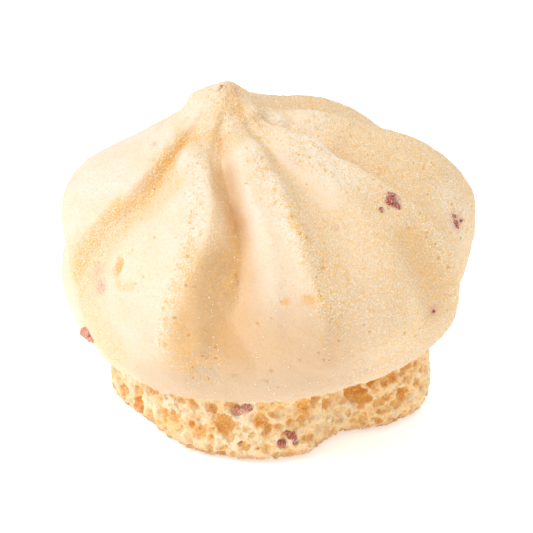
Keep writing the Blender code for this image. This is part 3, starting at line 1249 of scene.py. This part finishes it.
        # Golden painted shade in the hollows, with the gold bands partly browning.
        store(skin, "furrow", np.maximum(0.3 * hollow, self.form.painted(tree, points, self.gold_bands)))
        stain = np.zeros(len(points))
        for spot in self.stains:
            centre, _ = self.form.land(tree, spot)
            away = np.linalg.norm(points - centre, axis=1) / spot.size
            stain = np.maximum(stain, spot.strength * (1.0 - fade(away, 0.3, 1.0)))
        store(skin, "stain", stain)


# ---- The crumb foot


@dataclass(frozen=True)
class BubbleSet:
    """Bubbles of about one size that don't touch one another, and the share of it that they are sunk by."""

    count: int
    smallest: float
    largest: float
    sunk: float


@dataclass
class CrumbFoot:
    """The foot of open crumb that the dome stands on."""

    form: Form
    finish: CrumbFinish = field(default_factory=CrumbFinish)
    voxel: float = 0.13 * MM
    most_triangles: int = 190000
    seed: int = 11
    sets: tuple[BubbleSet, ...] = (
        BubbleSet(50, 0.70 * MM, 1.10 * MM, 0.0),
        BubbleSet(300, 0.45 * MM, 0.78 * MM, 0.10),
        BubbleSet(420, 0.30 * MM, 0.50 * MM, 0.10),
        BubbleSet(600, 0.20 * MM, 0.34 * MM, 0.10),
    )
    # The largest hollows on the shown side, from the right round to the left.
    hollows: tuple[Spot, ...] = spots(
        (311.5, -27.5, 1.7), (317, -23.5, 1.2), (283.7, -21.3, 0.9), (282.9, -26.2, 0.7),
        (324.8, -21.9, 0.9), (331, -20.2, 1), (267.1, -24.4, 0.9), (253.9, -26.8, 1.3),
        (244.3, -29.6, 0.8), (230.7, -29.1, 0.8), (207.2, -34.9, 1.1), (197.1, -32.3, 0.9),
    )
    scorches: tuple[Streak, ...] = (
        band(1.4, 0.9, (208, -36), (214, -36)),
        band(1.4, 0.95, (239, -34.5), (246, -35)),
        band(1.2, 0.8, (259, -35.5), (263, -35.5)),
        band(1.4, 0.9, (70, -36), (95, -36)),
        band(1.2, 0.8, (140, -36), (150, -36)),
    )
    least_scorch: float = 0.62
    # The direction of the foot's side that gets painted shade.
    foot_shaded_side: tuple[float, float] = (335.0, -30.0)
    lumps: Relief = Relief(Grain.SWELLS, 1.0 * MM, 0.30 * MM)
    crumbs: Relief = Relief(Grain.SWELLS, 0.5 * MM, 0.30 * MM)
    # The bubbles: how many are modelled, how far apart they stay, and how often a place is tried.
    bubble_models: int = 4
    spacing: float = 1.05
    tries: int = 12
    lowest_bubble: float = 0.15 * MM
    over_lip: float = 0.3 * MM
    uneven: float = 0.35
    stretch: tuple[float, float] = (0.7, 1.4)
    neck_rise: float = 1.2 * MM
    neck_width: float = 0.97
    bubble_lumps: Relief = Relief(Grain.SWELLS, 0.9, 0.8)
    bubble_shift: float = 7.0

    @property
    def neck_height(self) -> float:
        """The height of the top of the foot's neck, which the dome hides."""
        return float(self.form.lip_heights.max()) + self.neck_rise

    def build(self) -> Piece:
        """Builds the foot and dresses it.

        Returns:
            The finished piece.
        """
        foot = self._block()
        whole = surface_tree([foot])
        shapes = [self._bubble(number) for number in range(self.bubble_models)]
        random = np.random.default_rng(self.seed)
        self._carve(foot, shapes, self._hollow_places(whole), random)
        for bubbles in self.sets:
            self._carve(foot, shapes, self._bubble_places(whole, bubbles, random), random)
        for shape in shapes:
            bpy.data.objects.remove(shape)
        apply_modifier(foot, "REMESH", mode="VOXEL", voxel_size=self.voxel)
        self.lumps.press(foot)
        self.crumbs.press(foot)
        self._plain_top(foot)
        apply_modifier(foot, "DECIMATE", ratio=min(1.0, self.most_triangles / triangles_of(foot)))
        self._flatten_base(foot)
        self._store_browning_and_shade(foot, whole)
        smooth(foot)
        dress(foot, self.finish.material())
        return foot

    def _block(self) -> Piece:
        """Makes the solid foot, with a neck that reaches up inside the dome.

        Returns:
            The block, before any bubble is cut out of it.
        """
        foot = self.form.copy("crumb_foot")
        apply_modifier(foot, "SUBSURF", levels=1, render_levels=1)
        middles = face_middles(foot)
        above = middles[:, 2] > self.form.lip(azimuths(middles))
        with edit_mode(foot, above):
            bpy.ops.mesh.delete(type="FACE")
            select_open_edges()
            bpy.ops.mesh.extrude_edges_move()
            bpy.ops.transform.resize(
                value=(self.neck_width, self.neck_width, 0.0), center_override=(0.0, 0.0, self.neck_height)
            )
            bpy.ops.mesh.edge_face_add()
        return foot

    def _bubble(self, number: int) -> Piece:
        """Models one torn, lopsided bubble, each in its own place in the pattern of its lumps.

        Args:
            number: Which of the bubbles to model.

        Returns:
            The bubble, about 1 in radius.
        """
        bpy.ops.object.select_all(action="DESELECT")
        bpy.ops.mesh.primitive_ico_sphere_add(subdivisions=2, radius=1.0)
        bubble = bpy.context.object
        with edit_mode(bubble):
            bpy.ops.transform.vertex_random(offset=0.07, uniform=0.0, normal=1.0, seed=self.seed + number)
            bpy.ops.transform.translate(value=(self.bubble_shift * number, 0.0, 0.0))
        self.bubble_lumps.press(bubble)
        with edit_mode(bubble):
            bpy.ops.transform.translate(value=(-self.bubble_shift * number, 0.0, 0.0))
        return bubble

    def _hollow_places(self, whole: BVHTree) -> Places:
        """Gives the centre and the radius of each listed hollow."""
        return [(self.form.seat(whole, spot, -0.10), np.full(3, spot.size)) for spot in self.hollows]

    def _bubble_places(self, whole: BVHTree, bubbles: BubbleSet, random: np.random.Generator) -> Places:
        """Throws bubbles at the foot's wall and keeps those that don't touch.

        Args:
            whole: The surface of the uncut foot.
            bubbles: How many, how large and how deep.
            random: The source of chance.

        Returns:
            The centre and the radii of each bubble.
        """
        centres = np.zeros((0, 3))
        reaches = np.zeros(0)
        places = []
        for _ in range(bubbles.count * self.tries):
            if len(places) == bubbles.count:
                break
            azimuth = random.uniform(0.0, 360.0)
            highest = float(self.form.lip(np.array([azimuth]))[0]) + self.over_lip
            height = random.uniform(self.lowest_bubble, highest)
            size = random.uniform(bubbles.smallest, bubbles.largest)
            start = Vector(2.0 * self.form.height * heading(azimuth)) + Vector((0.0, 0.0, height))
            point, normal, _, _ = whole.ray_cast(start, Vector(-heading(azimuth)))
            if point is None:
                continue
            sunk = size * random.uniform(bubbles.sunk - self.uneven, bubbles.sunk)
            centre = np.array(point) - sunk * np.array(normal)
            if np.any(np.linalg.norm(centres - centre, axis=1) < self.spacing * (reaches + size)):
                continue
            centres = np.vstack((centres, centre))
            reaches = np.append(reaches, size)
            places.append((centre, size * random.uniform(*self.stretch, 3)))
        return places

    def _carve(
        self, foot: Piece, shapes: Sequence[Piece], places: Places, random: np.random.Generator
    ) -> None:
        """Cuts one set of bubbles out of the foot.

        Args:
            foot: The piece to cut.
            shapes: The modelled bubbles.
            places: The centre and the radii of each bubble.
            random: The source of chance.
        """
        cutter = scattered_copies("bubbles", shapes, places, random)
        apply_modifier(foot, "BOOLEAN", operation="DIFFERENCE", solver="MANIFOLD", object=cutter)
        bpy.data.objects.remove(cutter)

    def _plain_top(self, foot: Piece) -> None:
        """Gives the neck one flat face for a top, inside the dome.

        Args:
            foot: The foot with its neck.
        """
        height = self.neck_height - 2.0 * self.voxel
        with edit_mode(foot):
            bpy.ops.mesh.bisect(
                plane_co=(0.0, 0.0, height), plane_no=(0.0, 0.0, 1.0), use_fill=True, clear_outer=True
            )

    def _flatten_base(self, foot: Piece) -> None:
        """Lets no point reach below the base.

        Args:
            foot: The foot.
        """
        points = points_of(foot)
        points[:, 2] = np.maximum(points[:, 2], self.form.low[2])
        set_points(foot, points)

    def _store_browning_and_shade(self, foot: Piece, whole: BVHTree) -> None:
        """Keeps how deep each point lies in the crumb, where painted shade and a darkening towards the bottom
        lie, and where the foot is scorched.

        Args:
            foot: The foot, with its bubbles cut.
            whole: The surface of the foot before they were cut.
        """
        points = points_of(foot)
        depth = np.array([whole.find_nearest(Vector(point))[3] for point in points])
        store(foot, "depth", depth / (1.0 * MM))
        # Painted shade on the side turned from the light, and darker towards the bottom.
        facing = normals_of(foot) @ heading(*self.foot_shaded_side)
        turned_away = fade(facing, -0.3, 0.8) * fade(points[:, 0], -10.0 * MM, 8.0 * MM)
        store(foot, "tan_and_painted_shade", np.maximum(turned_away, 1.0 - fade(points[:, 2], 0.8 * MM, 3.2 * MM)))
        rim = 1.0 - fade(points[:, 2], 0.15 * MM, 1.60 * MM)
        scorched = np.maximum(self.least_scorch, self.form.painted(whole, points, self.scorches))
        store(foot, "scorch", rim * scorched)


def scattered_copies(
    name: str,
    models: Sequence[Piece],
    places: Places,
    random: np.random.Generator,
) -> Piece:
    """Joins turned and scaled copies of some models into one mesh.

    Args:
        name: The name of the new piece.
        models: The modelled shapes, each about 1 in radius.
        places: The centre and the three radii of each copy.
        random: The source of chance, for the turns and for which model is copied.

    Returns:
        The new piece.
    """
    shapes = [(points_of(model), [tuple(face.vertices) for face in model.data.polygons]) for model in models]
    points: list[np.ndarray] = []
    faces: list[tuple[int, ...]] = []
    start = 0
    for centre, radii in places:
        shape, corners = shapes[int(random.integers(len(shapes)))]
        turn = random_turn(random)
        points.append((shape * radii) @ turn + centre)
        faces.extend(tuple(start + corner for corner in face) for face in corners)
        start += len(shape)
    mesh = bpy.data.meshes.new(name)
    mesh.from_pydata(np.vstack(points).tolist(), [], faces)
    piece = bpy.data.objects.new(name, mesh)
    bpy.context.scene.collection.objects.link(piece)
    return piece


def random_turn(random: np.random.Generator) -> np.ndarray:
    """Gives a rotation with no favoured direction, as a 3 by 3 matrix.

    Args:
        random: The source of chance.

    Returns:
        The matrix, by which rows of points are multiplied.
    """
    matrix, upper = np.linalg.qr(random.normal(size=(3, 3)))
    matrix = matrix * np.sign(np.diag(upper))
    return matrix if np.linalg.det(matrix) > 0.0 else -matrix


# ---- What is baked on


@dataclass
class FruitBits:
    """Bits of freeze-dried raspberry, half sunk in the skin and the crumb."""

    form: Form
    finish: FruitFinish = field(default_factory=FruitFinish)
    seed: int = 23
    # On the right and the left of the dome, at the tip, in the foot, and then at the back.
    bits: tuple[Spot, ...] = spots(
        (322.5, 44.7, 0.42), (321.8, 43.2, 0.55), (321.3, 41.3, 0.4), (315.3, 42.1, 0.26),
        (350.6, 26.1, 0.24), (350.3, 24.4, 0.3), (352.4, 23.5, 0.2), (350.2, 23, 0.22), (320.2, 11, 0.22),
        (204.6, -3.4, 0.65), (206.5, -5, 0.4), (182, 78, 0.2),
        (260.6, -20.4, 0.8), (261.9, -18, 0.5), (258.9, -21.8, 0.55),
        (278.5, -30.3, 0.7), (280.1, -33.3, 0.55), (274.3, -32.9, 0.42), (259, -32.2, 0.28),
        (25, 22, 0.45), (58, 30, 0.36), (84, 8, 0.42), (122, 33, 0.5), (151, 15, 0.36),
        (110, -28, 0.55), (40, -30, 0.5), (165, -27, 0.45),
    )
    pale: tuple[Streak, ...] = (
        band(2.5, 0.85, (205.5, -4)),
        band(1.8, 0.55, (260.5, -20)),
        band(1, 0.7, (182, 77)),
    )
    rise: float = 0.05
    stretch: tuple[float, float] = (0.9, 1.7)
    chip_models: int = 4
    broken_faces: int = 5
    voxel: float = 0.13
    lumps: Relief = Relief(Grain.SWELLS, 0.4, 0.3)
    crease: float = math.radians(35.0)

    def build(self, tree: BVHTree) -> Piece:
        """Builds the bits and dresses them.

        Args:
            tree: The surfaces that the bits sit in.

        Returns:
            The finished piece.
        """
        random = np.random.default_rng(self.seed)
        models = [self._chip(number) for number in range(self.chip_models)]
        places = [
            (self.form.seat(tree, spot, self.rise), spot.size * random.uniform(*self.stretch, 3))
            for spot in self.bits
        ]
        fruit = scattered_copies("raspberry_bits", models, places, random)
        for model in models:
            bpy.data.objects.remove(model)
        self.form.keep_inside(fruit)
        points = points_of(fruit)
        store(fruit, "pale", self.form.painted(tree, points, self.pale))
        smooth(fruit, self.crease)
        dress(fruit, self.finish.material())
        return fruit

    def _chip(self, number: int) -> Piece:
        """Models one chip of fruit: a rough ball, broken along flat faces.

        Args:
            number: Which of the chips to model.

        Returns:
            The chip, about 1 in radius.
        """
        bpy.ops.object.select_all(action="DESELECT")
        bpy.ops.mesh.primitive_ico_sphere_add(subdivisions=4, radius=1.0)
        chip = bpy.context.object
        break_from = np.random.default_rng(self.seed + number)
        with edit_mode(chip):
            bpy.ops.transform.vertex_random(offset=0.12, uniform=0.0, normal=0.6, seed=number)
            for _ in range(self.broken_faces):
                facing = random_turn(break_from)[0]
                broken = tuple(break_from.uniform(0.35, 0.6) * facing)
                bpy.ops.mesh.select_all(action="SELECT")
                bpy.ops.mesh.bisect(plane_co=broken, plane_no=tuple(facing), use_fill=True, clear_outer=True)
        apply_modifier(chip, "REMESH", mode="VOXEL", voxel_size=self.voxel)
        self.lumps.press(chip)
        return chip


@dataclass
class SugarGrains:
    """Single sugar crystals on the skin, thickest on the right, and a few large ones in the crumb."""

    form: Form
    finish: SugarFinish = field(default_factory=SugarFinish)
    count: int = 1400
    smallest: float = 0.04 * MM
    largest: float = 0.10 * MM
    seed: int = 31
    thickest_at: float = 330.0
    sines: tuple[float, float] = (-0.2, 1.0)
    beads: tuple[Spot, ...] = spots((296.2, -32, 0.22), (296.7, -34.5, 0.25), (298, -35.5, 0.16))

    def build(self, tree: BVHTree) -> Piece:
        """Builds the crystals and dresses them.

        Args:
            tree: The surfaces that the crystals sit on.

        Returns:
            The finished piece.
        """
        random = np.random.default_rng(self.seed)
        crystal = self._crystal()
        places = []
        while len(places) < self.count:
            azimuth = random.uniform(0.0, 360.0)
            elevation = math.degrees(math.asin(random.uniform(*self.sines)))
            point, normal = self.form.land(tree, Spot(azimuth, elevation))
            wanted = 0.25 + 0.75 * float(fade(normal @ heading(self.thickest_at), 0.0, 0.8))
            if random.uniform() > wanted:
                continue
            size = random.uniform(self.smallest, self.largest)
            places.append((point + 0.2 * size * normal, np.full(3, size)))
        places += [(self.form.seat(tree, spot, 0.3), np.full(3, spot.size)) for spot in self.beads]
        grains = scattered_copies("sugar_crystals", [crystal], places, random)
        bpy.data.objects.remove(crystal)
        self.form.keep_inside(grains)
        dress(grains, self.finish.material())
        return grains

    def _crystal(self) -> Piece:
        """Models one crystal: a block a little longer one way, with its edges taken off.

        Returns:
            The crystal, about 1 in radius.
        """
        bpy.ops.object.select_all(action="DESELECT")
        bpy.ops.mesh.primitive_cube_add(size=1.6)
        crystal = bpy.context.object
        with edit_mode(crystal):
            bpy.ops.transform.resize(value=(1.0, 0.8, 0.65))
            bpy.ops.mesh.bevel(offset=0.14, segments=1)
        return crystal


# ---- The table, the light and the camera


@dataclass(frozen=True)
class Lamp:
    """One square soft lamp, as the cookie's heart sees it."""

    name: str
    azimuth: float
    elevation: float
    distance: float
    size: float
    power: float


@dataclass
class Studio:
    """A pale table in soft light from the upper left, seen from the front and a little above."""

    form: Form
    view_elevation: float = 28.0
    distance: float = 0.35
    lens: float = 217.5
    aside: float = -0.27 * MM
    aim_height: float = 0.405
    lamps: tuple[Lamp, ...] = (
        Lamp("key_light", 205.0, 44.0, 0.6, 0.25, 1.35),
        Lamp("top_light", 0.0, 60.0, 0.6, 0.35, 0.6),
    )
    fill: float = 0.68

    def build(self) -> None:
        """Sets up the camera, the lights and the table."""
        self._camera()
        for lamp in self.lamps:
            self._hang(lamp)
        self._fill_light()
        self._table()
        bpy.context.scene.view_settings.view_transform = "Standard"

    def _camera(self) -> None:
        """Puts the camera at the front."""
        data = bpy.data.cameras.new("camera")
        data.lens = self.lens
        data.sensor_width = 36.0
        camera = bpy.data.objects.new("camera", data)
        back = Vector(heading(270.0, self.view_elevation))
        aim = Vector((self.aside, 0.0, self.aim_height * self.form.height))
        camera.location = aim + self.distance * back
        camera.rotation_euler = back.to_track_quat("Z", "Y").to_euler()
        bpy.context.scene.collection.objects.link(camera)
        bpy.context.scene.camera = camera

    def _hang(self, lamp: Lamp) -> None:
        """Hangs one large soft lamp.

        Args:
            lamp: The lamp to hang.
        """
        data = bpy.data.lights.new(lamp.name, "AREA")
        data.energy = lamp.power
        data.size = lamp.size
        hung = bpy.data.objects.new(lamp.name, data)
        towards = Vector(heading(lamp.azimuth, lamp.elevation))
        hung.location = Vector(self.form.heart) + lamp.distance * towards
        hung.rotation_euler = towards.to_track_quat("Z", "Y").to_euler()
        bpy.context.scene.collection.objects.link(hung)

    def _fill_light(self) -> None:
        """Fills the shadows with even white light from all round."""
        world = bpy.data.worlds.new("white_room")
        world.use_nodes = True
        background = world.node_tree.nodes["Background"]
        background.inputs["Color"].default_value = (1.0, 1.0, 1.0, 1.0)
        background.inputs["Strength"].default_value = self.fill
        bpy.context.scene.world = world

    def _table(self) -> None:
        """Lays the table top under the cookie."""
        bpy.ops.object.select_all(action="DESELECT")
        bpy.ops.mesh.primitive_plane_add(size=3.0, location=(0.0, 0.0, -0.02 * MM))
        table = bpy.context.object
        table.name = "table_top"
        table.data.transform(table.matrix_world)
        table.location = (0.0, 0.0, 0.0)
        table.data.materials.append(TableFinish().material())


# ---- Putting it together


def report(piece: Piece) -> None:
    """Logs a piece's name and its number of triangles."""
    LOG.info("%s: %d triangles", piece.name, triangles_of(piece))


def settle(piece: Piece) -> None:
    """Fixes a finished piece to the cookie's body.

    Args:
        piece: The finished piece.
    """
    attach(piece, BODY)
    report(piece)


def main() -> None:
    """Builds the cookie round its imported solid, and the studio round the cookie."""
    logging.basicConfig(level=logging.INFO, format="%(name)s: %(message)s")
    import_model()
    bpy.ops.object.select_all(action="DESELECT")
    form = Form()
    Studio(form).build()
    fruit = FruitBits(form)
    skin = SugarSkin(form).build()
    foot = CrumbFoot(form).build()
    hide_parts(NODE)
    tree = surface_tree([skin, foot])
    for piece in (skin, foot, fruit.build(tree), SugarGrains(form).build(tree)):
        settle(piece)


if __name__ == "__main__":
    main()
